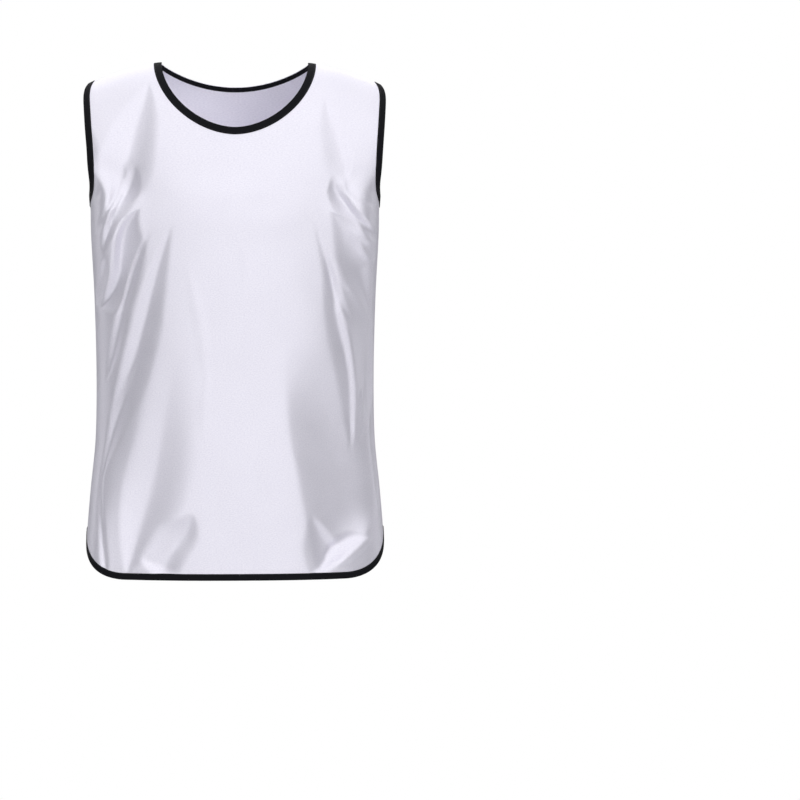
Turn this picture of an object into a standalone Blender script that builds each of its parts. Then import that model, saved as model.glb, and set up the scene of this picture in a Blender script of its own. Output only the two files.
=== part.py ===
"""Sleeveless training bib in plain satin, as it hangs on a wearer.

Lengths in the tables are millimetres; the objects are made in metres, +Z up.
The front faces -Y and +X is the wearer's left. The origin is in the middle
of the neck opening, level with the two neck points, where the shoulders
carry the garment.

A place on the cloth is given in two ways:
  q, drop  way round from the middle of the panel, and height below the origin
  q, w     the same q, and the way down the cloth from the shoulder line
"""

import math

import bmesh
import bpy
import numpy as np

# ---------------------------------------------------------------- sizes, mm

WALL = 1.2             # cloth, as a wall
GAP = 0.3              # between pieces at a seam
TAPE = 1.0             # binding tape, as a wall
NECK_TAPE_WIDTH = 9.3
BACK_NECK_TAPE_WIDTH = 7.8
ARM_TAPE_WIDTH = 8.0
HEM_TAPE_WIDTH = 7.6

ROUNDNESS = 2.4        # power of the superellipse that rings the body
NOMINAL_HALF_WIDTH = 187.0   # ring that measures q
NOMINAL_DEPTH = 122.0

NECK_HALF_WIDTH = 97.6       # neck point from the middle
FRONT_NECK_DROP = 92.0
BACK_NECK_DROP = 26.5
NECK_POWER = 1.87            # superellipse power of the front neck curve
BACK_NECK_POWER = 2.0
BACK_NECK_POWER_DOWN = 1.05

UNDERARM_DROP = 183.0
# the armhole edge, seen from in front: drop, and way from the middle
ARMHOLE_COLUMNS = ("drop", "across")
ARMHOLE = (
    (27.6, 191.5),
    (34, 194.6),
    (44, 196.6),
    (60, 196.0),
    (90, 193.4),
    (120, 190.8),
    (150, 188.5),
    (168, 187.6),
)
SHOULDER_SLOPE = 0.1175      # fall of the shoulder line beyond the neck point
SHOULDER_BEND = 0.001871

HEM_DROP = 675.0
HEM_FLAT_Q = 139.0           # the hem is level to here, then rises
HEM_RISE = 63.0
HEM_SOFT = 0.86              # share of the rise after which it turns level

SHOULDER_ROLL = {"front": 200.0, "back": 175.0}  # drop over which it rolls off the shoulder
ROLL_POWER = 2.2

# where the cloth stands off a rounder body, beside and below the armholes
FLARE_COLUMNS = ("hand", "out", "q", "drop", "reach_q", "reach_up", "reach_down")
FLARES = (
    (-1, 14, 166, 104, 46, 60, 50),
    (1, 14, 166, 104, 46, 60, 50),
    (-1, 36, 196, 196, 52, 56, 110),
    (1, 36, 196, 196, 52, 56, 110),
    (-1, 25, 204, 665, 46, 150, 60),
    (1, 8, 212, 668, 36, 60, 60),
)

# rings down the body: drop, half width, depth of the front, depth of the back
RING_COLUMNS = ("drop", "half_width", "front", "back")
RINGS = (
    (0, 264, 118, 98),
    (60, 258, 121, 104),
    (100, 249, 124, 108),
    (135, 233, 127, 111),
    (158, 209, 128, 112),
    (174, 194, 129, 112),
    (188, 190.4, 129, 112),
    (208, 190.0, 129, 112),
    (232, 189.4, 128, 110),
    (285, 186.6, 126, 107),
    (340, 184.6, 124, 103),
    (400, 183.3, 122, 101),
    (463, 183.5, 121, 102),
    (506, 185.3, 121, 105),
    (548, 189.7, 121, 109),
    (595, 194.0, 121, 113),
    (640, 197.2, 121, 116),
    (690, 199.0, 122, 118),
)

# The largest folds. A trough ("v") is deepest on its line; a ledge ("r") has
# its crest on its line and falls away to the right of it; "s" before either
# says that it starts shallow and not narrow. The line is a few places
# (q, drop); left and right are how far its flanks reach, depth how far it sinks
# in (+) or stands out (-), sharp how keen the line is, and start and end the
# shares of its length over which it grows and runs out. Both panels fold alike.
FOLD_COLUMNS = ("kind", "line", "left", "right", "depth", "sharp", "start", "end")
FOLDS = (
    # wearer's right
    ("v", ((-80, 30), (-89, 65), (-100, 100), (-115, 134), (-152, 169), (-180, 205), (-222, 242)), 34, 40, 6.0, 0.2, 0.8, 0.6),
    ("v", ((-124, 182), (-147, 224), (-157, 262), (-171, 294), (-206, 324)), 24, 36, 7.4, 0.3, 0.35, 0.3),
    ("v", ((-182, 258), (-200, 294), (-224, 328)), 16, 28, 5.0, 0.2, 0.5, 0.4),
    ("v", ((-104, 214), (-128, 259), (-151, 314), (-171, 368), (-190, 420)), 14, 20, 3.6, 0.3, 0.8, 0.25),
    ("v", ((-78, 210), (-94, 249), (-114, 309), (-131, 363), (-156, 431), (-178, 490), (-191, 545), (-186, 590)), 20, 36, 7.0, 0.3, 0.6, 0.35),
    ("v", ((-178, 470), (-182, 540), (-180, 610), (-172, 690)), 24, 60, -6.0, 0.1, 0.6, 0.05),
    ("sv", ((-70, 352), (-89, 438), (-97, 482), (-110, 557), (-127, 626), (-138, 672)), 46, 60, 10.0, 0.3, 0.75, 0.46),
    ("v", ((-54, 592), (-64, 615), (-75, 631), (-92, 668)), 18, 28, 4.4, 0.3, 0.5, 0.15),
    # wearer's left
    ("v", ((108, 152), (123, 167), (146, 190), (166, 209), (228, 236)), 34, 30, 4.4, 0.1, 0.35, 0.4),
    ("r", ((124, 200), (128, 226), (134, 262), (146, 286), (166, 309), (216, 336)), 6, 92, 9.0, 0.3, 0.4, 0.3),
    ("v", ((103, 208), (108, 230), (116, 250), (126, 277), (137, 329), (155, 388), (166, 440), (171, 485), (166, 515)), 28, 22, 5.4, 0.3, 0.5, 0.25),
    ("sr", ((62, 372), (66, 424), (70, 484), (79, 540), (85, 590), (98, 650)), 6, 140, 13.0, 0.3, 0.4, 0.45),
    ("r", ((96, 592), (85, 622), (83, 641), (92, 672)), 6, 56, 5.0, 0.3, 0.5, 0.15),
    ("v", ((206, 330), (218, 420), (222, 520), (214, 600)), 22, 24, 3.0, 0.2, 0.5, 0.5),
)

# mesh: rows on the neck, on the armhole and in all, and columns in half a panel
NECK_ROWS = 9
ARM_ROWS = 12
ALL_ROWS = 27
HALF_COLUMNS = 13

# ---------------------------------------------------------------- the form


def smooth_table(places, values):
    """A natural cubic spline through a table, as a function."""
    places, values = np.asarray(places, float), np.asarray(values, float)
    step = np.diff(places)
    size = len(places)
    matrix, right = np.eye(size), np.zeros(size)
    for i in range(1, size - 1):
        matrix[i, i - 1 : i + 2] = step[i - 1], 2 * (step[i - 1] + step[i]), step[i]
        right[i] = 6 * (
            (values[i + 1] - values[i]) / step[i]
            - (values[i] - values[i - 1]) / step[i - 1]
        )
    bend = np.linalg.solve(matrix, right)

    def read(at):
        at = np.clip(at, places[0], places[-1])
        i = np.clip(np.searchsorted(places, at) - 1, 0, size - 2)
        h = places[i + 1] - places[i]
        a, b = (places[i + 1] - at) / h, (at - places[i]) / h
        return (
            a * values[i]
            + b * values[i + 1]
            + ((a**3 - a) * bend[i] + (b**3 - b) * bend[i + 1]) * h * h / 6
        )

    return read


RING = np.array(RINGS, float)
half_width = smooth_table(RING[:, 0], RING[:, 1])
DEPTH = {
    "front": smooth_table(RING[:, 0], RING[:, 2]),
    "back": smooth_table(RING[:, 0], RING[:, 3]),
}


def on_superellipse(angle):
    """Across and out of a superellipse of half sizes 1, at an angle from out."""
    size = (np.sin(angle) ** ROUNDNESS + np.cos(angle) ** ROUNDNESS) ** (-1 / ROUNDNESS)
    return np.sin(angle) * size, np.cos(angle) * size


_angles = np.linspace(0, math.pi / 2, 2001)
_across, _out = on_superellipse(_angles)
_way = np.concatenate(
    [
        [0],
        np.cumsum(
            np.hypot(NOMINAL_HALF_WIDTH * np.diff(_across), NOMINAL_DEPTH * np.diff(_out))
        ),
    ]
)
SIDE_Q = float(_way[-1])     # q of the side seam, a quarter of the girth


def across_out(q):
    return on_superellipse(np.interp(np.abs(q), _way, _angles))


def shoulder_drop(x):
    """Height of the shoulder line below the origin, at x from the middle."""
    beyond = np.abs(x) - NECK_HALF_WIDTH
    inside = -SHOULDER_SLOPE * (NECK_HALF_WIDTH**2 - x * x) / (2 * NECK_HALF_WIDTH)
    return np.where(
        beyond > 0, SHOULDER_SLOPE * beyond + SHOULDER_BEND * beyond * beyond, inside
    )


def rolled(share):
    share = np.clip(share, 0, 1)
    return (1 - (1 - share) ** ROLL_POWER) ** (1 / ROLL_POWER)


def below_line(side, w):
    roll = SHOULDER_ROLL[side]
    quarter = roll * math.pi / 2
    return np.where(
        w < quarter, roll * (1 - np.cos(np.minimum(w, quarter) / roll)), roll + w - quarter
    )


def form(side, q, w):
    """The smooth body form: points of a panel at (q, w), seen from its own side."""
    across, out = across_out(q)
    below = below_line(side, w)
    drop = below
    for _ in range(25):
        drop = shoulder_drop(half_width(drop) * across) + below
    x = half_width(drop) * across * np.sign(q)
    y = DEPTH[side](drop) * out * rolled(below / SHOULDER_ROLL[side])
    for hand, flare, at_q, at_drop, reach_q, reach_up, reach_down in FLARES:
        off = drop - at_drop
        near = ((hand * q - at_q) / reach_q) ** 2 + (
            off / np.where(off < 0, reach_up, reach_down)
        ) ** 2
        y = y + flare * np.exp(-near) * np.clip(w / 60, 0, 1) * np.clip(
            (SIDE_Q - np.abs(q)) / 30, 0, 1
        )
    turn = -1 if side == "front" else 1
    return np.stack([-turn * x, turn * y, -drop], -1)


def way_down(side, q, drop):
    """w of the place at (q, drop)."""
    roll = SHOULDER_ROLL[side]
    below = np.maximum(drop - shoulder_drop(half_width(drop) * across_out(q)[0]), 0)
    rolling = roll * np.arccos(np.clip(1 - below / roll, -1, 1))
    return np.where(below < roll, rolling, roll * math.pi / 2 + below - roll)


def axes(side, q, w):
    """The form's two directions and its outward normal at (q, w)."""
    e = 0.05
    w = np.maximum(w, 2 * e)
    along_q = (form(side, q + e, w) - form(side, q - e, w)) / (2 * e)
    along_w = (form(side, q, w + e) - form(side, q, w - e)) / (2 * e)
    normal = np.cross(along_w, along_q)
    normal /= np.linalg.norm(normal, axis=-1, keepdims=True)
    return along_q, along_w, normal


# ---------------------------------------------------------------- the folds


def eased(share):
    share = np.clip(share, 0, 1)
    return share * share * (3 - 2 * share)


def one_fold(q, drop, shift, kind, line, left, right, depth, sharp, start, end):
    """How far the cloth sinks at (q, drop) by one fold, its line shifted in q."""
    line = np.array(line, float)
    line[:, 0] += shift
    low, high = line[0, 1], line[-1, 1]
    sink = np.zeros(np.shape(q))
    near = (drop > low) & (drop < high)
    if not near.any():
        return sink
    at = drop[near]
    centre = smooth_table(line[:, 1], line[:, 0])
    above, below = np.maximum(at - 2, low), np.minimum(at + 2, high)
    lean = (centre(below) - centre(above)) / (below - above)
    off = (q[near] - centre(at)) / np.sqrt(1 + lean * lean)
    share = (at - low) / (high - low)
    out = 1 - np.clip(1 - (1 - share) / end, 0, 1) ** 2
    if kind[0] == "s":
        deepen = eased(share / start)
        widen = (0.6 + 0.4 * deepen) * out
        deepen = deepen * out
    else:
        deepen = widen = (1 - np.clip(1 - share / start, 0, 1) ** 2) * out
    widen = np.maximum(widen, 1e-3)
    if kind[-1] == "v":
        a = np.clip(np.abs(off) / (np.where(off < 0, left, right) * widen), 0, 1)
        shape = (1 - sharp) * (1 - a * a) ** 2 + sharp * (1 - a) ** 1.5
    else:
        crest = left * (0.4 + 0.6 * widen)
        a = np.clip((off + np.sqrt(off * off + crest * crest)) / 2 / (right * widen), 0, 1)
        shape = a * (1 - a * a) ** 2 / 0.2862
    sink[near] = depth * deepen * shape
    return sink


def folds(side, q, w):
    """Sink of a panel's own folds, and of the other panel's that cross the side seam."""
    drop = -form(side, q, w)[..., 2]
    sink = np.zeros(np.shape(q))
    for row in FOLDS:
        for shift in (0, 2 * SIDE_Q, -2 * SIDE_Q):
            sink = sink + one_fold(q, drop, shift, *row)
    return sink * eased(w / 60)


# ---------------------------------------------------------------- the cut


def along_edge(side, q, drop, steps, hand):
    """Places spaced evenly along a curve on the form, as (q, w), and the step in
    q and w that lies one millimetre into the cloth from each. hand is 1 where
    the cloth is on the right of the curve and -1 where it is on the left."""
    w = way_down(side, q, drop)
    places = form(side, q, w)
    way = np.concatenate([[0], np.cumsum(np.linalg.norm(np.diff(places, axis=0), axis=1))])
    at = np.linspace(0, way[-1], steps + 1)
    e = way[-1] / 300
    ahead, behind = np.minimum(at + e, way[-1]), np.maximum(at - e, 0)
    run_q = np.interp(ahead, way, q) - np.interp(behind, way, q)
    run_w = np.interp(ahead, way, w) - np.interp(behind, way, w)
    q, w = np.interp(at, way, q), np.interp(at, way, w)
    along_q, along_w, normal = axes(side, q, w)
    tangent = along_q * run_q[:, None] + along_w * run_w[:, None]
    tangent /= np.linalg.norm(tangent, axis=1, keepdims=True)
    inward = hand * np.cross(normal, tangent)
    # the same direction, measured in q and w
    qq = np.einsum("ij,ij->i", along_q, along_q)
    qw = np.einsum("ij,ij->i", along_q, along_w)
    ww = np.einsum("ij,ij->i", along_w, along_w)
    iq = np.einsum("ij,ij->i", along_q, inward)
    iw = np.einsum("ij,ij->i", along_w, inward)
    area = qq * ww - qw * qw
    step = np.stack([(ww * iq - qw * iw) / area, (qq * iw - qw * iq) / area], -1)
    return np.stack([q, w], -1), step


def neck_curve(side, steps):
    """The neck edge, from the neck point to the middle."""
    lowest = FRONT_NECK_DROP if side == "front" else BACK_NECK_DROP
    power = NECK_POWER if side == "front" else BACK_NECK_POWER
    power_down = NECK_POWER if side == "front" else BACK_NECK_POWER_DOWN
    q0 = float(np.interp(NECK_HALF_WIDTH / half_width(0.0), _across, _way))
    angle = np.linspace(0, math.pi / 2, 721)
    q = q0 * np.cos(angle) ** (2 / power)
    drop = lowest * np.sin(angle) ** (2 / power_down)
    q[-1] = 0
    edge, step = along_edge(side, q, drop, steps, 1)
    leg = edge + (NECK_TAPE_WIDTH if side == "front" else BACK_NECK_TAPE_WIDTH) * step
    edge[0, 1] = leg[0, 1] = 0
    edge[-1, 0] = leg[-1, 0] = 0
    return edge, leg


def arm_curve(side, steps):
    """The armhole edge, from the shoulder tip to the underarm."""
    line = np.array(ARMHOLE, float)
    line = np.concatenate([line, [[UNDERARM_DROP, half_width(UNDERARM_DROP)]]])
    turn = np.sin(np.linspace(0, math.pi / 2, 721))
    drop = line[0, 0] + (UNDERARM_DROP - line[0, 0]) * turn
    share = smooth_table(line[:, 0], line[:, 1])(drop) / half_width(drop)
    q = np.interp(share, _across, _way)
    q[-1] = SIDE_Q
    edge, step = along_edge(side, q, drop, steps, -1)
    leg = edge + ARM_TAPE_WIDTH * step
    edge[0, 1] = leg[0, 1] = 0
    edge[-1, 0] = leg[-1, 0] = SIDE_Q
    return edge, leg


def hem_curve(side, steps):
    """The hem edge, from the middle to the side seam: level, then up to the seam."""
    q = np.linspace(0, SIDE_Q, 721)
    a = np.clip((q - HEM_FLAT_Q) / (SIDE_Q - HEM_FLAT_Q), 0, 1)
    late = np.maximum(a - HEM_SOFT, 0)
    risen = np.minimum(a, HEM_SOFT) ** 2 + 2 * HEM_SOFT * (
        late - late * late / (2 * (1 - HEM_SOFT))
    )
    edge, step = along_edge(side, q, HEM_DROP - HEM_RISE * risen, steps, 1)
    leg = edge + HEM_TAPE_WIDTH * step
    edge[0, 0] = leg[0, 0] = 0
    edge[-1, 0] = leg[-1, 0] = SIDE_Q
    return edge, leg


def half_cut(side, neck_rows, arm_rows, all_rows, columns):
    """Half a panel as (q, w): its neck edge, its armhole edge and the rows of
    cloth between the tapes' legs. The last row is the hem edge and the one
    before it is the leg of the hem tape."""
    neck, neck_leg = neck_curve(side, neck_rows)
    arm, arm_leg = arm_curve(side, arm_rows)
    hem, hem_leg = hem_curve(side, columns)
    share = np.linspace(0, 1, columns + 1)[:, None]
    rows = np.zeros((all_rows + 1, columns + 1, 2))
    rows[-1], rows[-2] = hem, hem_leg
    pitch = (hem_leg[0, 1] - neck_leg[-1, 1]) / (all_rows - 1 - neck_rows)
    for i in range(arm_rows + 1):
        if i <= neck_rows:
            inner = neck_leg[i]
            lean = math.atan2(*(neck_leg[i] - neck[i])[::-1])
        else:
            inner = np.array([0, neck_leg[-1, 1] + pitch * (i - neck_rows)])
            lean = math.pi / 2 * (1 - (i - neck_rows) / (arm_rows - neck_rows + 1))
        outer = arm_leg[i]
        back = math.atan2(arm_leg[i][1] - arm[i][1], arm[i][0] - arm_leg[i][0])
        if i == 0:
            lean = back = 0
        reach = np.hypot(*(outer - inner)) / 3
        first = inner + reach * np.array([math.cos(0.55 * lean), math.sin(0.55 * lean)])
        second = outer + reach * np.array([-math.cos(0.55 * back), math.sin(0.55 * back)])
        t = share
        rows[i] = (
            (1 - t) ** 3 * inner
            + 3 * t * (1 - t) ** 2 * first
            + 3 * t * t * (1 - t) * second
            + t**3 * outer
        )
    for i in range(arm_rows + 1, all_rows - 1):
        t = (i - arm_rows) / (all_rows - 1 - arm_rows)
        rows[i] = (1 - t) * rows[arm_rows] + t * hem_leg
    return neck, arm, rows


def on_cloth(side, cut, hand):
    """Points of the folded cloth, in millimetres, for places of half a panel."""
    q, w = cut[..., 0] * hand, cut[..., 1]
    q, w = q.ravel(), w.ravel()
    points = form(side, q, w) - axes(side, q, w)[2] * folds(side, q, w)[:, None]
    turn = -1 if side == "front" else 1
    at_seam = (w <= 0) | (np.abs(q) >= SIDE_Q - 1e-6)
    points[:, 1] = np.where(at_seam, turn * GAP / 2, points[:, 1])
    points[:, 0] = np.where(q == 0, 0, points[:, 0])
    return points.reshape(cut.shape[:-1] + (3,))


# ---------------------------------------------------------------- the pieces


def material(name, colour, roughness):
    made = bpy.data.materials.new(name)
    made.use_nodes = True
    shader = made.node_tree.nodes["Principled BSDF"]
    shader.inputs["Base Color"].default_value = (*colour, 1)
    shader.inputs["Roughness"].default_value = roughness
    shader.inputs["Metallic"].default_value = 0
    return made


def new_object(name, mesh_parts, colour, roughness):
    built = bmesh.new()
    verts = [built.verts.new(p / 1000) for p in mesh_parts[0]]
    for face in mesh_parts[1]:
        built.faces.new([verts[k] for k in face])
    bmesh.ops.recalc_face_normals(built, faces=built.faces)
    mesh = bpy.data.meshes.new(name)
    built.to_mesh(mesh)
    built.free()
    mesh.shade_smooth()
    made = bpy.data.objects.new(name, mesh)
    made.data.materials.append(material(name, colour, roughness))
    pieces.objects.link(made)
    return made


def split(a, b, c, d, turned):
    """A quad as two triangles, cut the same way on a panel and on its tape."""
    return [(a, b, d), (b, c, d)] if turned else [(a, b, c), (a, c, d)]


def panel(side, colour, roughness):
    """One panel, as an open surface with a wall. It returns, for each bound
    edge, the pairs of points (edge, leg) with the cloth's normals there."""
    neck, arm, rows = half_cut(side, NECK_ROWS, ARM_ROWS, ALL_ROWS, HALF_COLUMNS)
    points, faces, index = [], [], {}

    def put(key, point):
        index[key] = len(points)
        points.append(point)

    for hand in (-1, 1):
        grid = on_cloth(side, rows, hand)
        edge = {"neck": on_cloth(side, neck, hand), "arm": on_cloth(side, arm, hand)}
        for i in range(ALL_ROWS + 1):
            for j in range(HALF_COLUMNS + 1):
                if j == 0 and i >= NECK_ROWS and hand == 1:
                    index[hand, i, j] = index[-1, i, j]
                else:
                    put((hand, i, j), grid[i, j])
        for name, last in (("neck", NECK_ROWS), ("arm", ARM_ROWS)):
            for i in range(last + 1):
                if name == "neck" and i == last and hand == 1:
                    index[hand, name, i] = index[-1, name, i]
                else:
                    put((hand, name, i), edge[name][i])
        for i in range(ALL_ROWS):
            for j in range(HALF_COLUMNS):
                quad = [index[hand, a, b] for a, b in ((i, j), (i, j + 1), (i + 1, j + 1), (i + 1, j))]
                if i == ALL_ROWS - 1:
                    faces += split(*quad, hand == 1)
                else:
                    faces.append(quad)
        for name, last, column in (("neck", NECK_ROWS, 0), ("arm", ARM_ROWS, HALF_COLUMNS)):
            for i in range(last):
                quad = [
                    index[hand, name, i],
                    index[hand, i, column],
                    index[hand, i + 1, column],
                    index[hand, name, i + 1],
                ]
                faces += split(*quad, False)
    made = new_object(side + "_panel", (points, faces), colour, roughness)
    # the cloth faces outwards
    mesh = made.data
    middle = index[1, ALL_ROWS // 2, 1]
    if mesh.vertices[middle].normal.y * (-1 if side == "front" else 1) < 0:
        mesh.flip_normals()
    normal = np.array([v.normal[:] for v in mesh.vertices], float)
    place = np.array(points)
    # the wall's edges stay clear of the seams' plane, also where the wall leans
    on_seam = np.abs(place[:, 1]) <= GAP / 2 + 1e-6
    place[on_seam, 1] += np.sign(place[on_seam, 1]) * WALL / 2 * np.abs(normal[on_seam, 1])
    for vertex, p in zip(mesh.vertices, place):
        vertex.co = p / 1000
    wall = made.modifiers.new("wall", "SOLIDIFY")
    wall.thickness = WALL / 1000
    wall.offset = 0

    def pair(edge_key, leg_key):
        e, g = index[edge_key], index[leg_key]
        return np.array([place[e], place[g], normal[e], normal[g]])

    bound = {}
    for hand in (-1, 1):
        bound["neck", hand] = [pair((hand, "neck", i), (hand, i, 0)) for i in range(NECK_ROWS + 1)]
        bound["arm", hand] = [
            pair((hand, "arm", i), (hand, i, HALF_COLUMNS)) for i in range(ARM_ROWS + 1)
        ]
        bound["hem", hand] = [
            pair((hand, ALL_ROWS, j), (hand, ALL_ROWS - 1, j)) for j in range(HALF_COLUMNS + 1)
        ]
    return bound


def folded_tape(edge, leg, at_edge, at_leg):
    """Section of tape folded over an edge: ten points round a U."""
    near, far = WALL / 2 + GAP, WALL / 2 + GAP + TAPE
    off = (edge - leg) / np.linalg.norm(edge - leg)
    nose = edge + off * (GAP + TAPE)
    return [
        leg + at_leg * far,
        edge + at_edge * far,
        nose + at_edge * near,
        nose - at_edge * near,
        edge - at_edge * far,
        leg - at_leg * far,
        leg - at_leg * near,
        edge + off * GAP - at_edge * near,
        edge + off * GAP + at_edge * near,
        leg + at_leg * near,
    ]


def flat_tape(edge, leg, at_edge, at_leg):
    """Section of tape sewn flat inside, just short of the edge."""
    near, far = WALL / 2 + GAP, WALL / 2 + GAP + TAPE
    top = edge + (leg - edge) * 0.08
    return [top - at_edge * near, leg - at_leg * near, leg - at_leg * far, top - at_edge * far]


def tape(name, section, pairs, ring, ahead):
    """A tape through its sections. Its quads are cut as the panel's are: ahead
    says for each stretch that the cut runs from the edge on to the next leg."""
    sections = [section(*p) for p in pairs]
    size, count = len(sections[0]), len(sections)
    points = [p for s in sections for p in s]
    to_edge = (0, 6) if size == 10 else (2,)  # sides that run from leg to edge
    faces = []
    for i in range(count if ring else count - 1):
        here, there = i * size, (i + 1) % count * size
        for k in range(size):
            m = (k + 1) % size
            turned = (k in to_edge) == ahead[i]
            faces += split(here + k, here + m, there + m, there + k, turned)
    if not ring:
        if size == 10:
            cap = [(0, 1, 8, 9), (1, 2, 8), (2, 3, 7, 8), (3, 4, 7), (4, 5, 6, 7)]
        else:
            cap = [(0, 1, 2, 3)]
        last = (count - 1) * size
        faces += [face for face in cap] + [tuple(last + k for k in face[::-1]) for face in cap]
    new_object(name, (points, faces), (0.012, 0.012, 0.016), 0.75)


def square_end(pair):
    """The pair at a shoulder seam, with the tape cut along the seam."""
    made = pair.copy()
    made[:2, 1] = np.sign(made[:2, 1]) * GAP / 2
    made[2:, 1] = 0
    made[2:] /= np.linalg.norm(made[2:], axis=1, keepdims=True)
    return made


def square_ends(pairs):
    return [square_end(pairs[0])] + pairs[1:-1] + [square_end(pairs[-1])]


def between(first, second):
    """The pair on a seam, midway between the two panels."""
    mid = (first + second) / 2
    mid[2:] /= np.linalg.norm(mid[2:], axis=1, keepdims=True)
    return mid


# ---------------------------------------------------------------- the bib

for old in list(bpy.data.objects):
    bpy.data.objects.remove(old)
pieces = bpy.data.collections.new("training_bib")
bpy.context.scene.collection.children.link(pieces)

SATIN = (0.86, 0.855, 0.93)
front = panel("front", SATIN, 0.42)
back = panel("back", SATIN, 0.42)

neck_pairs = front["neck", -1] + front["neck", 1][-2::-1]
tape("neck_binding", folded_tape, square_ends(neck_pairs), False, [True] * NECK_ROWS + [False] * NECK_ROWS)
back_neck_pairs = back["neck", -1] + back["neck", 1][-2::-1]
tape("back_neck_tape", flat_tape, square_ends(back_neck_pairs), False, [True] * NECK_ROWS + [False] * NECK_ROWS)

for name, front_hand in (("armhole_binding_left", 1), ("armhole_binding_right", -1)):
    ahead, behind = front["arm", front_hand], back["arm", -front_hand]
    ring = (
        [between(ahead[0], behind[0])]
        + ahead[1:-1]
        + [between(ahead[-1], behind[-1])]
        + behind[-2:0:-1]
    )
    tape(name, folded_tape, ring, True, [True] * ARM_ROWS + [False] * ARM_ROWS)

hem_ring = (
    [between(front["hem", -1][-1], back["hem", 1][-1])]
    + front["hem", -1][-2::-1]
    + front["hem", 1][1:-1]
    + [between(front["hem", 1][-1], back["hem", -1][-1])]
    + back["hem", -1][-2::-1]
    + back["hem", 1][1:-1]
)
tape(
    "hem_binding",
    folded_tape,
    hem_ring,
    True,
    [True] * (4 * HALF_COLUMNS),
)
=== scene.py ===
"""Sleeveless training bib in white satin with black binding, worn form.

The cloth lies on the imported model's form and is built again here as thin
sheets, with its folds placed one by one. Lengths in the tables are
millimetres; meshes are made in metres. The front faces -Y, +Z is up and +X is
the wearer's left.

A place on the cloth is (q, drop) or (q, w): q is the way round from the middle
of the panel, drop the height below the neck points, and w the way down the
cloth from the shoulder line.
"""

import math

import bpy
import numpy as np
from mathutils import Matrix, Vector


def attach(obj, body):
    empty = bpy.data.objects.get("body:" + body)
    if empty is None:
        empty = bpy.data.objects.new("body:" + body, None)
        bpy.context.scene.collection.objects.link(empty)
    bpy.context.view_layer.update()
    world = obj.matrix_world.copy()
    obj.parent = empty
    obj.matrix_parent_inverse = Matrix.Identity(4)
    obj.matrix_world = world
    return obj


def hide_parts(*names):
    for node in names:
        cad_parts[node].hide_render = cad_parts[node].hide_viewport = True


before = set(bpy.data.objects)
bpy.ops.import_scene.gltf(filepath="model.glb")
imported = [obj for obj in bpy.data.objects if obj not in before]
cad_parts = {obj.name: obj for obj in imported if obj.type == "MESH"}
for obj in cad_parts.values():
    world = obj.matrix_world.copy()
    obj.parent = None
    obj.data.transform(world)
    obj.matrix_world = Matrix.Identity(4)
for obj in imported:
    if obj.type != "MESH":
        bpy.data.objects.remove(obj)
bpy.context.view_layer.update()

# ---------------------------------------------------------------- sizes, mm

CLOTH = 0.55           # thickness of the satin as modelled
TAPE = 0.55            # thickness of one layer of tape
NECK_TAPE_WIDTH = 9.3
BACK_NECK_TAPE_WIDTH = 7.8
ARM_TAPE_WIDTH = 8.0
HEM_TAPE_WIDTH = 7.6
SEAM_GAP = 0.3

ROUNDNESS = 2.4
NOMINAL_HALF_WIDTH = 187.0
NOMINAL_DEPTH = 122.0

NECK_HALF_WIDTH = 97.6
FRONT_NECK_DROP = 92.0
BACK_NECK_DROP = 26.5
NECK_POWER = 1.87
BACK_NECK_POWER = 2.0
BACK_NECK_POWER_DOWN = 1.05

UNDERARM_DROP = 183.0
# the armhole edge, seen from in front: drop, and way from the middle
ARMHOLE_COLUMNS = ("drop", "across")
ARMHOLE = (
    (27.6, 191.5),
    (34, 194.6),
    (44, 196.6),
    (60, 196.0),
    (90, 193.4),
    (120, 190.8),
    (150, 188.5),
    (168, 187.6),
)
SHOULDER_SLOPE = 0.1175
SHOULDER_BEND = 0.001871

HEM_DROP = 675.0
HEM_FLAT_Q = 139.0
HEM_RISE = 63.0
HEM_SOFT = 0.86

SHOULDER_ROLL = {"front": 200.0, "back": 175.0}
ROLL_POWER = 2.2

# where the cloth stands off a rounder body, beside and below the armholes
FLARE_COLUMNS = ("hand", "out", "q", "drop", "reach_q", "reach_up", "reach_down")
FLARES = (
    (-1, 14, 166, 104, 46, 60, 50),
    (1, 14, 166, 104, 46, 60, 50),
    (-1, 36, 196, 196, 52, 56, 110),
    (1, 36, 196, 196, 52, 56, 110),
    (-1, 25, 204, 665, 46, 150, 60),
    (1, 8, 212, 668, 36, 60, 60),
)

# drop, half width, depth of the front, depth of the back
RINGS = (
    (0, 264, 118, 98),
    (60, 258, 121, 104),
    (100, 249, 124, 108),
    (135, 233, 127, 111),
    (158, 209, 128, 112),
    (174, 194, 129, 112),
    (188, 190.4, 129, 112),
    (208, 190.0, 129, 112),
    (232, 189.4, 128, 110),
    (285, 186.6, 126, 107),
    (340, 184.6, 124, 103),
    (400, 183.3, 122, 101),
    (463, 183.5, 121, 102),
    (506, 185.3, 121, 105),
    (548, 189.7, 121, 109),
    (595, 194.0, 121, 113),
    (640, 197.2, 121, 116),
    (690, 199.0, 122, 118),
)

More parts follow.
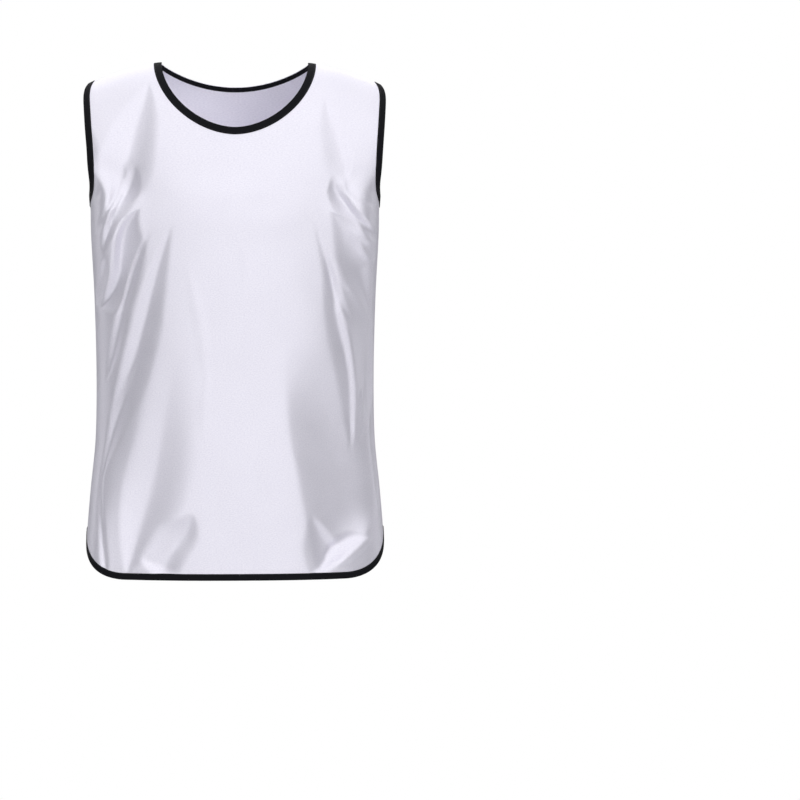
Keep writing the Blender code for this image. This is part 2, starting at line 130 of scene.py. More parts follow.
# Folds. A trough ("v") is deepest on its line; a ledge ("r") has its crest on
# its line and falls away to the right of it. "h" before either says that it
# runs level and not down, and "s" that it starts soft: shallow and not narrow.
# The line is a few places (q, drop). left and right are how far the flanks
# reach, depth how far it sinks (+) or stands out (-), sharp how keen the line
# is, and start and end the shares of its length over which it grows from a
# point and runs out to one.
#   kind, line, left, right, depth, sharp, start, end
FOLDS = (
    # wearer's right: from the neck point and the armhole down to the side
    ("v", ((-80, 30), (-89, 65), (-100, 100), (-115, 134), (-136, 156), (-176, 200)), 28, 30, 8.6, 0.45, 0.6, 0.3),
    ("v", ((-118, 136), (-134, 154), (-152, 169), (-180, 205), (-222, 242)), 9, 12, 1.6, 0.5, 0.5, 0.3),
    ("v", ((-106, 142), (-119, 155), (-138, 172), (-154, 193), (-173, 221), (-188, 252)), 9, 20, 5.6, 0.5, 0.4, 0.4),
    ("v", ((-146, 88), (-148, 115), (-160, 150)), 9, 10, 1.0, 0.2, 0.5, 0.5),
    ("v", ((-172, 160), (-190, 176), (-214, 192)), 6, 7, 1.5, 0.4, 0.5, 0.4),
    ("v", ((-124, 196), (-136, 208), (-147, 226), (-157, 262), (-171, 294), (-204, 324)), 13, 42, 10.6, 0.45, 0.42, 0.2),
    ("v", ((-182, 258), (-200, 294), (-220, 324)), 12, 28, 4.6, 0.3, 0.5, 0.4),
    ("v", ((-104, 214), (-128, 259), (-151, 314), (-171, 368), (-190, 420)), 10, 17, 4.0, 0.6, 0.8, 0.25),
    ("v", ((-78, 210), (-94, 249), (-114, 309), (-131, 363), (-156, 431), (-178, 490), (-192, 548)), 17, 34, 7.0, 0.5, 0.6, 0.42),
    ("v", ((-134, 384), (-153, 423), (-179, 474)), 7, 7, -1.2, 0.3, 0.5, 0.5),
    ("v", ((-184, 490), (-190, 555), (-183, 602), (-168, 670)), 10, 8, 2.2, 0.5, 0.5, 0.1),
    ("sv", ((-70, 352), (-89, 438), (-97, 482), (-110, 557), (-127, 626), (-138, 672)), 46, 60, 10.0, 0.4, 0.75, 0.46),
    ("v", ((-54, 590), (-64, 615), (-75, 631), (-94, 670)), 36, 26, 7.0, 0.4, 0.5, 0.15),
    # wearer's left
    ("v", ((85, 50), (93, 80), (103, 107), (114, 133), (136, 161)), 24, 12, 4.2, 0.4, 0.8, 0.4),
    ("v", ((132, 158), (152, 174), (170, 182), (219, 193)), 6, 6, 1.9, 0.5, 0.4, 0.3),
    ("v", ((112, 156), (123, 167), (146, 190), (166, 209), (228, 236)), 22, 10, 7.0, 0.5, 0.5, 0.35),
    ("v", ((154, 217), (175, 244), (216, 271)), 8, 9, -1.6, 0.2, 0.5, 0.5),
    ("r", ((124, 200), (128, 226), (134, 262), (146, 286), (166, 309), (206, 334)), 4, 76, 9.6, 0, 0.5, 0.3),
    ("r", ((138, 290), (154, 340), (168, 388), (178, 440), (182, 500)), 4, 64, 5.0, 0, 0.4, 0.4),
    ("v", ((103, 208), (108, 230), (116, 250), (126, 277), (137, 329), (155, 388), (166, 440), (171, 485), (168, 515)), 26, 12, 5.2, 0.5, 0.7, 0.5),
    ("v", ((116, 254), (129, 285), (151, 327), (170, 350)), 11, 8, 2.4, 0.5, 0.5, 0.4),
    ("v", ((178, 418), (183, 445), (184, 480)), 8, 6, 1.8, 0.5, 0.5, 0.5),
    ("v", ((181, 362), (195, 389), (194, 425), (188, 448), (201, 488)), 7, 7, -1.6, 0.3, 0.4, 0.4),
    ("sr", ((62, 372), (66, 424), (70, 484), (79, 540), (86, 590), (104, 672)), 3, 140, 13.0, 0.4, 0.4, 0.3),
    ("r", ((96, 592), (85, 622), (83, 641), (92, 672)), 3, 64, 6.0, 0.4, 0.5, 0.15),
    ("hv", ((110, 653), (119, 641), (131, 632), (154, 623), (182, 621)), 9, 16, 4.2, 0.5, 0.4, 0.4),
    ("hv", ((122, 663), (136, 653), (150, 644), (167, 633), (190, 624)), 12, 10, -3.0, 0.3, 0.4, 0.4),
    ("v", ((206, 330), (218, 420), (222, 520), (214, 600)), 22, 24, 3.0, 0.2, 0.5, 0.5),
    # faint lines in the middle
    ("v", ((-62, 262), (-53, 310), (-42, 370), (-38, 430)), 13, 13, -0.8, 0.3, 0.5, 0.5),
    ("v", ((-4, 215), (12, 260), (15, 300), (0, 410)), 9, 9, -0.9, 0.3, 0.5, 0.5),
    ("v", ((-35, 400), (-40, 445), (-42, 500)), 10, 10, -0.9, 0.3, 0.5, 0.5),
    ("v", ((-20, 505), (-24, 560), (-28, 640)), 8, 8, 0.5, 0.3, 0.5, 0.3),
    ("v", ((27, 515), (36, 560), (48, 620)), 8, 8, 0.5, 0.3, 0.5, 0.5),
    ("v", ((18, 640), (20, 655), (22, 680)), 5, 5, 0.5, 0.3, 0.6, 0.1),
    ("v", ((-22, 648), (-20, 660), (-20, 680)), 5, 5, 0.4, 0.3, 0.6, 0.1),
)

ROWS_NECK = 60
ROWS_ARM = 84
ROWS_ALL = 236
COLUMNS = 84           # in half a panel

# ---------------------------------------------------------------- the form


def smooth_table(places, values):
    """A natural cubic spline through a table, as a function."""
    places, values = np.asarray(places, float), np.asarray(values, float)
    step = np.diff(places)
    size = len(places)
    matrix, right = np.eye(size), np.zeros(size)
    for i in range(1, size - 1):
        matrix[i, i - 1 : i + 2] = step[i - 1], 2 * (step[i - 1] + step[i]), step[i]
        right[i] = 6 * (
            (values[i + 1] - values[i]) / step[i] - (values[i] - values[i - 1]) / step[i - 1]
        )
    bend = np.linalg.solve(matrix, right)

    def read(at):
        at = np.clip(at, places[0], places[-1])
        i = np.clip(np.searchsorted(places, at) - 1, 0, size - 2)
        h = places[i + 1] - places[i]
        a, b = (places[i + 1] - at) / h, (at - places[i]) / h
        return (
            a * values[i]
            + b * values[i + 1]
            + ((a**3 - a) * bend[i] + (b**3 - b) * bend[i + 1]) * h * h / 6
        )

    return read


RING = np.array(RINGS, float)
half_width = smooth_table(RING[:, 0], RING[:, 1])
DEPTH = {
    "front": smooth_table(RING[:, 0], RING[:, 2]),
    "back": smooth_table(RING[:, 0], RING[:, 3]),
}


def on_superellipse(angle):
    size = (np.sin(angle) ** ROUNDNESS + np.cos(angle) ** ROUNDNESS) ** (-1 / ROUNDNESS)
    return np.sin(angle) * size, np.cos(angle) * size


_angles = np.linspace(0, math.pi / 2, 2001)
_across, _out = on_superellipse(_angles)
_way = np.concatenate(
    [
        [0],
        np.cumsum(np.hypot(NOMINAL_HALF_WIDTH * np.diff(_across), NOMINAL_DEPTH * np.diff(_out))),
    ]
)
SIDE_Q = float(_way[-1])


def across_out(q):
    return on_superellipse(np.interp(np.abs(q), _way, _angles))


def shoulder_drop(x):
    beyond = np.abs(x) - NECK_HALF_WIDTH
    inside = -SHOULDER_SLOPE * (NECK_HALF_WIDTH**2 - x * x) / (2 * NECK_HALF_WIDTH)
    return np.where(beyond > 0, SHOULDER_SLOPE * beyond + SHOULDER_BEND * beyond * beyond, inside)


def rolled(share):
    share = np.clip(share, 0, 1)
    return (1 - (1 - share) ** ROLL_POWER) ** (1 / ROLL_POWER)


def below_line(side, w):
    roll = SHOULDER_ROLL[side]
    quarter = roll * math.pi / 2
    return np.where(
        w < quarter, roll * (1 - np.cos(np.minimum(w, quarter) / roll)), roll + w - quarter
    )


def form(side, q, w):
    """The smooth body form at (q, w), seen from the panel's own side."""
    across, out = across_out(q)
    below = below_line(side, w)
    drop = below
    for _ in range(14):
        drop = shoulder_drop(half_width(drop) * across) + below
    x = half_width(drop) * across * np.sign(q)
    y = DEPTH[side](drop) * out * rolled(below / SHOULDER_ROLL[side])
    for hand, flare, at_q, at_drop, reach_q, reach_up, reach_down in FLARES:
        off = drop - at_drop
        near = ((hand * q - at_q) / reach_q) ** 2 + (
            off / np.where(off < 0, reach_up, reach_down)
        ) ** 2
        y = y + flare * np.exp(-near) * np.clip(w / 60, 0, 1) * np.clip(
            (SIDE_Q - np.abs(q)) / 30, 0, 1
        )
    turn = -1 if side == "front" else 1
    return np.stack([-turn * x, turn * y, -drop], -1)


def way_down(side, q, drop):
    roll = SHOULDER_ROLL[side]
    below = np.maximum(drop - shoulder_drop(half_width(drop) * across_out(q)[0]), 0)
    rolling = roll * np.arccos(np.clip(1 - below / roll, -1, 1))
    return np.where(below < roll, rolling, roll * math.pi / 2 + below - roll)


def axes(side, q, w):
    e = 0.05
    w = np.maximum(w, 2 * e)
    along_q = (form(side, q + e, w) - form(side, q - e, w)) / (2 * e)
    along_w = (form(side, q, w + e) - form(side, q, w - e)) / (2 * e)
    normal = np.cross(along_w, along_q)
    normal /= np.linalg.norm(normal, axis=-1, keepdims=True)
    return along_q, along_w, normal


# ---------------------------------------------------------------- the folds


def eased(share):
    share = np.clip(share, 0, 1)
    return share * share * (3 - 2 * share)


def one_fold(q, drop, shift, kind, line, left, right, depth, sharp, start, end):
    """How far the cloth sinks at (q, drop) by one fold, its line shifted in q."""
    line = np.array(line, float)
    line[:, 0] += shift
    across, along = q, drop
    if kind[0] == "h":
        across, along = drop, q
        line = line[:, ::-1]
    if line[-1, 1] < line[0, 1]:
        line = line[::-1]
        start, end = end, start
    low, high = line[0, 1], line[-1, 1]
    sink = np.zeros(np.shape(q))
    reach = 1.6 * max(left, right) + 10
    near = (along > low - reach) & (along < high + reach)
    near &= (across > line[:, 0].min() - reach) & (across < line[:, 0].max() + reach)
    if not near.any():
        return sink
    centre = smooth_table(line[:, 1], line[:, 0])
    here, level = across[near], along[near]
    # the foot of each place on the line, and how far off it lies
    at = np.clip(level, low, high)
    for _ in range(6):
        above, below = np.maximum(at - 2, low), np.minimum(at + 2, high)
        lean = (centre(below) - centre(above)) / (below - above)
        step = ((here - centre(at)) * lean + level - at) / (1 + lean * lean)
        at = np.clip(at + np.clip(step, -25, 25), low, high)
    off = ((here - centre(at)) - lean * (level - at)) / np.sqrt(1 + lean * lean)
    off = np.where(np.abs(step) > 3, 1e3, off)
    share = (at - low) / (high - low)
    out = 1 - np.clip(1 - (1 - share) / end, 0, 1) ** 2
    if kind[0] == "s":
        deepen = eased(share / start)
        widen = (0.6 + 0.4 * deepen) * out
        deepen = deepen * out
    else:
        deepen = widen = (1 - np.clip(1 - share / start, 0, 1) ** 2) * out
    widen = np.maximum(widen, 1e-3)
    if kind[-1] == "v":
        a = np.clip(np.abs(off) / (np.where(off < 0, left, right) * widen), 0, 1)
        round_line = np.sqrt(a * a + 0.0035) - 0.059
        shape = (1 - sharp) * (1 - a * a) ** 2 + sharp * (1 - np.minimum(round_line, 1)) ** 1.5
    else:
        crest = left * (0.4 + 0.6 * widen)
        t = (off + np.sqrt(off * off + crest * crest)) / 2
        a = np.clip(t / (right * widen), 0, 1)
        shape = a * (1 - a * a) ** 2 / 0.2862
    sink[near] = depth * deepen * shape
    return sink


def fold_sink(q, drop, shift=0.0):
    """The sink by every fold of a panel, with its lines moved by shift in q."""
    total = np.zeros(np.shape(q))
    for row in FOLDS:
        total += one_fold(q, drop, shift, *row)
    return total


def cloth_sink(side, q, w, drop):
    own = fold_sink(q, drop)
    other = fold_sink(q, drop, 2 * SIDE_Q) + fold_sink(q, drop, -2 * SIDE_Q)
    # the side seam holds it straighter
    held = 1 - 0.65 * np.exp(-(((SIDE_Q - np.abs(q)) / 24) ** 2))
    return (own + other) * held * eased(w / 60)


# ---------------------------------------------------------------- the cut


def along_edge(side, q, drop, steps, hand):
    w = way_down(side, q, drop)
    places = form(side, q, w)
    way = np.concatenate([[0], np.cumsum(np.linalg.norm(np.diff(places, axis=0), axis=1))])
    at = np.linspace(0, way[-1], steps + 1)
    e = way[-1] / 300
    ahead, behind = np.minimum(at + e, way[-1]), np.maximum(at - e, 0)
    run_q = np.interp(ahead, way, q) - np.interp(behind, way, q)
    run_w = np.interp(ahead, way, w) - np.interp(behind, way, w)
    q, w = np.interp(at, way, q), np.interp(at, way, w)
    along_q, along_w, normal = axes(side, q, w)
    tangent = along_q * run_q[:, None] + along_w * run_w[:, None]
    tangent /= np.linalg.norm(tangent, axis=1, keepdims=True)
    inward = hand * np.cross(normal, tangent)
    qq = np.einsum("ij,ij->i", along_q, along_q)
    qw = np.einsum("ij,ij->i", along_q, along_w)
    ww = np.einsum("ij,ij->i", along_w, along_w)
    iq = np.einsum("ij,ij->i", along_q, inward)
    iw = np.einsum("ij,ij->i", along_w, inward)
    area = qq * ww - qw * qw
    step = np.stack([(ww * iq - qw * iw) / area, (qq * iw - qw * iq) / area], -1)
    return np.stack([q, w], -1), step


def neck_curve(side, steps):
    lowest = FRONT_NECK_DROP if side == "front" else BACK_NECK_DROP
    power = NECK_POWER if side == "front" else BACK_NECK_POWER
    power_down = NECK_POWER if side == "front" else BACK_NECK_POWER_DOWN
    q0 = float(np.interp(NECK_HALF_WIDTH / half_width(0.0), _across, _way))
    angle = np.linspace(0, math.pi / 2, 721)
    q = q0 * np.cos(angle) ** (2 / power)
    drop = lowest * np.sin(angle) ** (2 / power_down)
    q[-1] = 0
    edge, step = along_edge(side, q, drop, steps, 1)
    leg = edge + (NECK_TAPE_WIDTH if side == "front" else BACK_NECK_TAPE_WIDTH) * step
    edge[0, 1] = leg[0, 1] = 0
    edge[-1, 0] = leg[-1, 0] = 0
    return edge, leg


def arm_curve(side, steps):
    line = np.array(ARMHOLE, float)
    line = np.concatenate([line, [[UNDERARM_DROP, half_width(UNDERARM_DROP)]]])
    turn = np.sin(np.linspace(0, math.pi / 2, 721))
    drop = line[0, 0] + (UNDERARM_DROP - line[0, 0]) * turn
    share = smooth_table(line[:, 0], line[:, 1])(drop) / half_width(drop)
    q = np.interp(share, _across, _way)
    q[-1] = SIDE_Q
    edge, step = along_edge(side, q, drop, steps, -1)
    leg = edge + ARM_TAPE_WIDTH * step
    edge[0, 1] = leg[0, 1] = 0
    edge[-1, 0] = leg[-1, 0] = SIDE_Q
    return edge, leg


def hem_curve(side, steps):
    q = np.linspace(0, SIDE_Q, 721)
    a = np.clip((q - HEM_FLAT_Q) / (SIDE_Q - HEM_FLAT_Q), 0, 1)
    late = np.maximum(a - HEM_SOFT, 0)
    risen = np.minimum(a, HEM_SOFT) ** 2 + 2 * HEM_SOFT * (
        late - late * late / (2 * (1 - HEM_SOFT))
    )
    edge, step = along_edge(side, q, HEM_DROP - HEM_RISE * risen, steps, 1)
    leg = edge + HEM_TAPE_WIDTH * step
    edge[0, 0] = leg[0, 0] = 0
    edge[-1, 0] = leg[-1, 0] = SIDE_Q
    return edge, leg


def half_cut(side):
    """Half a panel as (q, w): neck edge, armhole edge and the rows between the
    tapes' legs. The last row is the hem edge, the one before it the hem leg."""
    neck, neck_leg = neck_curve(side, ROWS_NECK)
    arm, arm_leg = arm_curve(side, ROWS_ARM)
    hem, hem_leg = hem_curve(side, COLUMNS)
    t = np.linspace(0, 1, COLUMNS + 1)[:, None]
    rows = np.zeros((ROWS_ALL + 1, COLUMNS + 1, 2))
    rows[-1], rows[-2] = hem, hem_leg
    pitch = (hem_leg[0, 1] - neck_leg[-1, 1]) / (ROWS_ALL - 1 - ROWS_NECK)
    for i in range(ROWS_ARM + 1):
        if i <= ROWS_NECK:
            inner = neck_leg[i]
            lean = math.atan2(*(neck_leg[i] - neck[i])[::-1])
        else:
            inner = np.array([0, neck_leg[-1, 1] + pitch * (i - ROWS_NECK)])
            lean = math.pi / 2 * (1 - (i - ROWS_NECK) / (ROWS_ARM - ROWS_NECK + 1))
        outer = arm_leg[i]
        back = math.atan2(arm_leg[i][1] - arm[i][1], arm[i][0] - arm_leg[i][0])
        if i == 0:
            lean = back = 0
        reach = np.hypot(*(outer - inner)) / 3
        first = inner + reach * np.array([math.cos(0.55 * lean), math.sin(0.55 * lean)])
        second = outer + reach * np.array([-math.cos(0.55 * back), math.sin(0.55 * back)])
        rows[i] = (
            (1 - t) ** 3 * inner
            + 3 * t * (1 - t) ** 2 * first
            + 3 * t * t * (1 - t) * second
            + t**3 * outer
        )
    for i in range(ROWS_ARM + 1, ROWS_ALL - 1):
        t2 = (i - ROWS_ARM) / (ROWS_ALL - 1 - ROWS_ARM)
        rows[i] = (1 - t2) * rows[ROWS_ARM] + t2 * hem_leg
    return neck, arm, rows


def on_cloth(side, cut, hand):
    q, w = (cut[..., 0] * hand).ravel(), cut[..., 1].ravel()
    places = form(side, q, w)
    normal = axes(side, q, w)[2]
    points = places - normal * cloth_sink(side, q, w, -places[:, 2])[:, None]
    turn = -1 if side == "front" else 1
    at_seam = (w <= 0) | (np.abs(q) >= SIDE_Q - 1e-6)
    points[:, 1] = np.where(at_seam, turn * SEAM_GAP / 2, points[:, 1])
    points[:, 0] = np.where(q == 0, 0, points[:, 0])
    return points.reshape(cut.shape[:-1] + (3,))


# ---------------------------------------------------------------- meshes


def new_mesh(name, points, faces, uvs=None, smooth=True):
    mesh = bpy.data.meshes.new(name)
    mesh.from_pydata([tuple(p) for p in np.asarray(points) / 1000], [], faces)
    if uvs is not None:
        layer = mesh.uv_layers.new(name="cloth")
        loop_vertex = np.zeros(len(mesh.loops), int)
        mesh.loops.foreach_get("vertex_index", loop_vertex)
        layer.data.foreach_set("uv", np.asarray(uvs, float)[loop_vertex].ravel())
    if smooth:
        mesh.shade_smooth()
    mesh.update()
    made = bpy.data.objects.new(name, mesh)
    bpy.context.scene.collection.objects.link(made)
    return made


def vertex_normals(points, quads):
    """Normals of a grid of quads, weighted by area."""
    a, b, c, d = (points[quads[:, k]] for k in range(4))
    flat = np.cross(c - a, d - b)
    normal = np.zeros_like(points)
    for k in range(4):
        np.add.at(normal, quads[:, k], flat)
    return normal / np.linalg.norm(normal, axis=1, keepdims=True)


def panel(side):
    """One panel as a closed thin sheet, with the pairs (edge, leg) of its bound
    edges and the cloth's normals there."""
    neck, arm, rows = half_cut(side)
    points, uvs, index = [], [], {}
    count = 0
    for hand in (-1, 1):
        grids = (
            ("grid", rows),
            ("neck", neck[:, None]),
            ("arm", arm[:, None]),
        )
        for key, cut in grids:
            placed = on_cloth(side, cut, hand)
            ids = np.arange(placed[..., 0].size).reshape(placed.shape[:2]) + count
            count += ids.size
            points.append(placed.reshape(-1, 3))
            uv = cut.reshape(-1, 2) / 1000
            uvs.append(np.stack([uv[:, 0] * hand, -uv[:, 1]], -1))
            index[hand, key] = ids
    # the two halves share their middle line
    one, two = index[-1, "grid"], index[1, "grid"].copy()
    two[ROWS_NECK:, 0] = one[ROWS_NECK:, 0]
    index[1, "grid"] = two
    index[1, "neck"] = index[1, "neck"].copy()
    index[1, "neck"][-1, 0] = index[-1, "neck"][-1, 0]
    points, uvs = np.concatenate(points), np.concatenate(uvs)
    outward = []
    for hand in (-1, 1):
        g = index[hand, "grid"]
        quads = [np.stack([g[:-1, :-1], g[:-1, 1:], g[1:, 1:], g[1:, :-1]], -1).reshape(-1, 4)]
        n, leg = index[hand, "neck"][:, 0], g[: ROWS_NECK + 1, 0]
        quads.append(np.stack([n[:-1], leg[:-1], leg[1:], n[1:]], -1))
        m, leg = index[hand, "arm"][:, 0], g[: ROWS_ARM + 1, -1]
        quads.append(np.stack([leg[:-1], m[:-1], m[1:], leg[1:]], -1))
        quads = np.concatenate(quads)
        outward.append(quads if hand == -1 else quads[:, ::-1])
    quads = np.concatenate(outward)
    normal = np.full_like(points, 0)
    used = np.unique(quads)
    remap = np.full(len(points), -1)
    remap[used] = np.arange(len(used))
    points, uvs = points[used], uvs[used]
    quads = remap[quads]
    index = {key: remap[ids] for key, ids in index.items()}
    normal = vertex_normals(points, quads)
    middle = index[1, "grid"][ROWS_ALL // 2, 1]
    if normal[middle, 1] * (-1 if side == "front" else 1) < 0:
        normal, quads = -normal, quads[:, ::-1]
    # clear of the seams' plane
    on_seam = np.abs(points[:, 1]) <= SEAM_GAP / 2 + 1e-6
    points[on_seam, 1] += np.sign(points[on_seam, 1]) * CLOTH / 2 * np.abs(normal[on_seam, 1])
    size = len(points)
    both = np.concatenate([points + normal * CLOTH / 2, points - normal * CLOTH / 2])
    # walls along the open edges
    sides = np.concatenate([quads[:, [k, (k + 1) % 4]] for k in range(4)])
    keys = sides[:, 0].astype(np.int64) * size + sides[:, 1]
    back_keys = sides[:, 1].astype(np.int64) * size + sides[:, 0]
    border = sides[~np.isin(keys, back_keys)]
    wall = np.stack([border[:, 1], border[:, 0], border[:, 0] + size, border[:, 1] + size], -1)
    faces = np.concatenate([quads, quads[:, ::-1] + size, wall])
    made = new_mesh(side + "_cloth", both, faces.tolist(), np.concatenate([uvs, uvs]))

    def pairs(hand, key):
        g = index[hand, "grid"]
        if key == "neck":
            e, leg = index[hand, "neck"][:, 0], g[: ROWS_NECK + 1, 0]
        elif key == "arm":
            e, leg = index[hand, "arm"][:, 0], g[: ROWS_ARM + 1, -1]
        else:
            e, leg = g[-1], g[-2]
        return np.stack([points[e], points[leg], normal[e], normal[leg]], 1)

    bound = {(key, hand): pairs(hand, key) for key in ("neck", "arm", "hem") for hand in (-1, 1)}
    area = 0.0
    a, b, c, d = (points[quads[:, k]] for k in range(4))
    area = 0.5 * np.linalg.norm(np.cross(c - a, d - b), axis=1).sum() / 1e6
    return made, bound, area


def unit(v):
    return v / np.linalg.norm(v, axis=-1, keepdims=True)


def tape_section(edge, leg, at_edge, at_leg):
    """Tape folded over a raw edge: down the outside, round the nose, up the
    inside, and back along its inner face."""
    inner = CLOTH / 2 + 0.10
    outer = inner + TAPE
    off = unit(edge - leg)
    side = unit(at_edge)
    points = []

    def leg_points(sign, depth, shares, puff):
        for s in shares:
            base = leg + (edge - leg) * s
            n = unit(at_leg + (at_edge - at_leg) * s)
            points.append(base + sign * n * (depth + puff * math.sin(math.pi * min(s * 1.0, 1.0))))

    leg_points(1, outer - 0.28, (0.0,), 0.0)
    leg_points(1, outer, (0.05, 0.14, 0.24, 0.5, 0.8), 0.16)
    for k in range(0, 9):
        angle = math.pi * k / 8
        points.append(edge + off * (0.15 + outer * 1.05 * math.sin(angle)) + side * outer * math.cos(angle))
    leg_points(-1, outer, (0.8, 0.5, 0.24, 0.14, 0.05), 0.16)
    leg_points(-1, outer - 0.28, (0.0,), 0.0)
    leg_points(-1, inner, (0.0, 0.5), 0.0)
    for k in range(4, -1, -1):
        angle = math.pi * k / 4
        points.append(edge + off * (0.12 + inner * 0.9 * math.sin(angle)) + side * inner * math.cos(angle))
    leg_points(1, inner, (0.5, 0.0), 0.0)
    return points


def flat_section(edge, leg, at_edge, at_leg):
    """Tape sewn flat on the inside, just short of the edge."""
    near = CLOTH / 2 + 0.10
    far = near + TAPE * 1.1
    points = []
    for s, extra in ((0.05, -0.25), (0.10, 0.0), (0.5, 0.10), (0.94, 0.0), (1.0, -0.25)):
        base = edge + (leg - edge) * s
        n = unit(at_edge + (at_leg - at_edge) * s)
        points.append(base - n * (far + extra))
    for s in (1.0, 0.5, 0.05):
        base = edge + (leg - edge) * s
        n = unit(at_edge + (at_leg - at_edge) * s)
        points.append(base - n * near)
    return points


def tape(name, section, pairs, ring):
    sections = [section(*p) for p in pairs]
    size, count = len(sections[0]), len(sections)
    points = np.array([p for s in sections for p in s])
    way = np.concatenate(
        [[0], np.cumsum(np.linalg.norm(np.diff([p[0] for p in pairs], axis=0), axis=1))]
    )
    round_way = np.concatenate(
        [[0], np.cumsum(np.linalg.norm(np.diff(sections[0], axis=0), axis=1))]
    )
    uvs = [(w / 1000, r / 1000) for w in way for r in round_way]
    faces = []
    for i in range(count if ring else count - 1):
        here, there = i * size, (i + 1) % count * size
        for k in range(size):
            m = (k + 1) % size
            faces.append((here + k, here + m, there + m, there + k))
    if not ring:
        last = (count - 1) * size
        faces.append(tuple(range(size))[::-1])
        faces.append(tuple(last + k for k in range(size)))
    # faces out
    a, b, c, d = (points[np.array([f[k] for f in faces if len(f) == 4])] for k in range(4))
    middle = (a + b + c + d) / 4
    volume = np.einsum("ij,ij->i", middle, np.cross(c - a, d - b)).sum()
    if volume < 0:
        faces = [f[::-1] for f in faces]
    made = new_mesh(name, points, faces, uvs)
    return made, way[-1]


def square_end(pair):
    made = pair.copy()
    made[:2, 1] = np.sign(made[:2, 1]) * SEAM_GAP / 2
    made[2:, 1] = 0
    made[2:] = unit(made[2:])
    return made


def between(first, second):
    mid = (first + second) / 2
    mid[2:] = unit(mid[2:])
    return mid


def join_ring(first, second, third, fourth):
    return np.array(list(first) + list(second) + list(third) + list(fourth))


# ---------------------------------------------------------------- stitches

STITCH = 2.6           # length of one stitch
STITCH_GAP = 0.5
THREAD = 0.30          # thickness of the thread


def stitches(name, pairs, ring, share, sides, lift):
    """A row of single stitches along a tape, at a share of the way from its leg
    to its edge, on the outside (+1), the inside (-1) or both."""
    points, faces = [], []
    steps = 4
    for sign in sides:
        base = pairs[:, 1] + (pairs[:, 0] - pairs[:, 1]) * share
        normal = unit(pairs[:, 3] + (pairs[:, 2] - pairs[:, 3]) * share)
        line = base + sign * normal * (CLOTH / 2 + 0.10 + lift)
        if ring:
            line = np.concatenate([line, line[:1]])
            normal = np.concatenate([normal, normal[:1]])
        way = np.concatenate([[0], np.cumsum(np.linalg.norm(np.diff(line, axis=0), axis=1))])
        pitch = STITCH + STITCH_GAP
        count = int(way[-1] / pitch)
        pitch = way[-1] / count
        for k in range(count):
            at = k * pitch + STITCH_GAP / 2 + np.linspace(0, pitch - STITCH_GAP, steps + 1)
            path = np.stack([np.interp(at, way, line[:, i]) for i in range(3)], -1)
            out = unit(np.stack([np.interp(at, way, normal[:, i]) for i in range(3)], -1)) * sign
            run = unit(np.gradient(path, axis=0))
            wide = np.cross(out, run)
            rise = np.array([-0.5, 0.75, 1.0, 0.75, -0.5]) * THREAD * 0.5
            start = len(points)
            for j in range(steps + 1):
                centre = path[j] + out[j] * rise[j]
                half = THREAD * (0.35 if j in (0, steps) else 0.5)
                for a in range(6):
                    angle = math.pi * 2 * a / 6
                    points.append(
                        centre + wide[j] * half * math.cos(angle) + out[j] * half * math.sin(angle)
                    )
            for j in range(steps):
                for a in range(6):
                    b = (a + 1) % 6
                    faces.append(
                        (
                            start + j * 6 + a,
                            start + (j + 1) * 6 + a,
                            start + (j + 1) * 6 + b,
                            start + j * 6 + b,
                        )
                    )
            faces.append(tuple(start + a for a in range(6)))
            faces.append(tuple(start + steps * 6 + a for a in range(5, -1, -1)))
    return new_mesh(name, points, faces)


# ---------------------------------------------------------------- materials


def node(tree, kind, **values):
    made = tree.nodes.new(kind)
    for key, value in values.items():
        setattr(made, key, value)
    return made


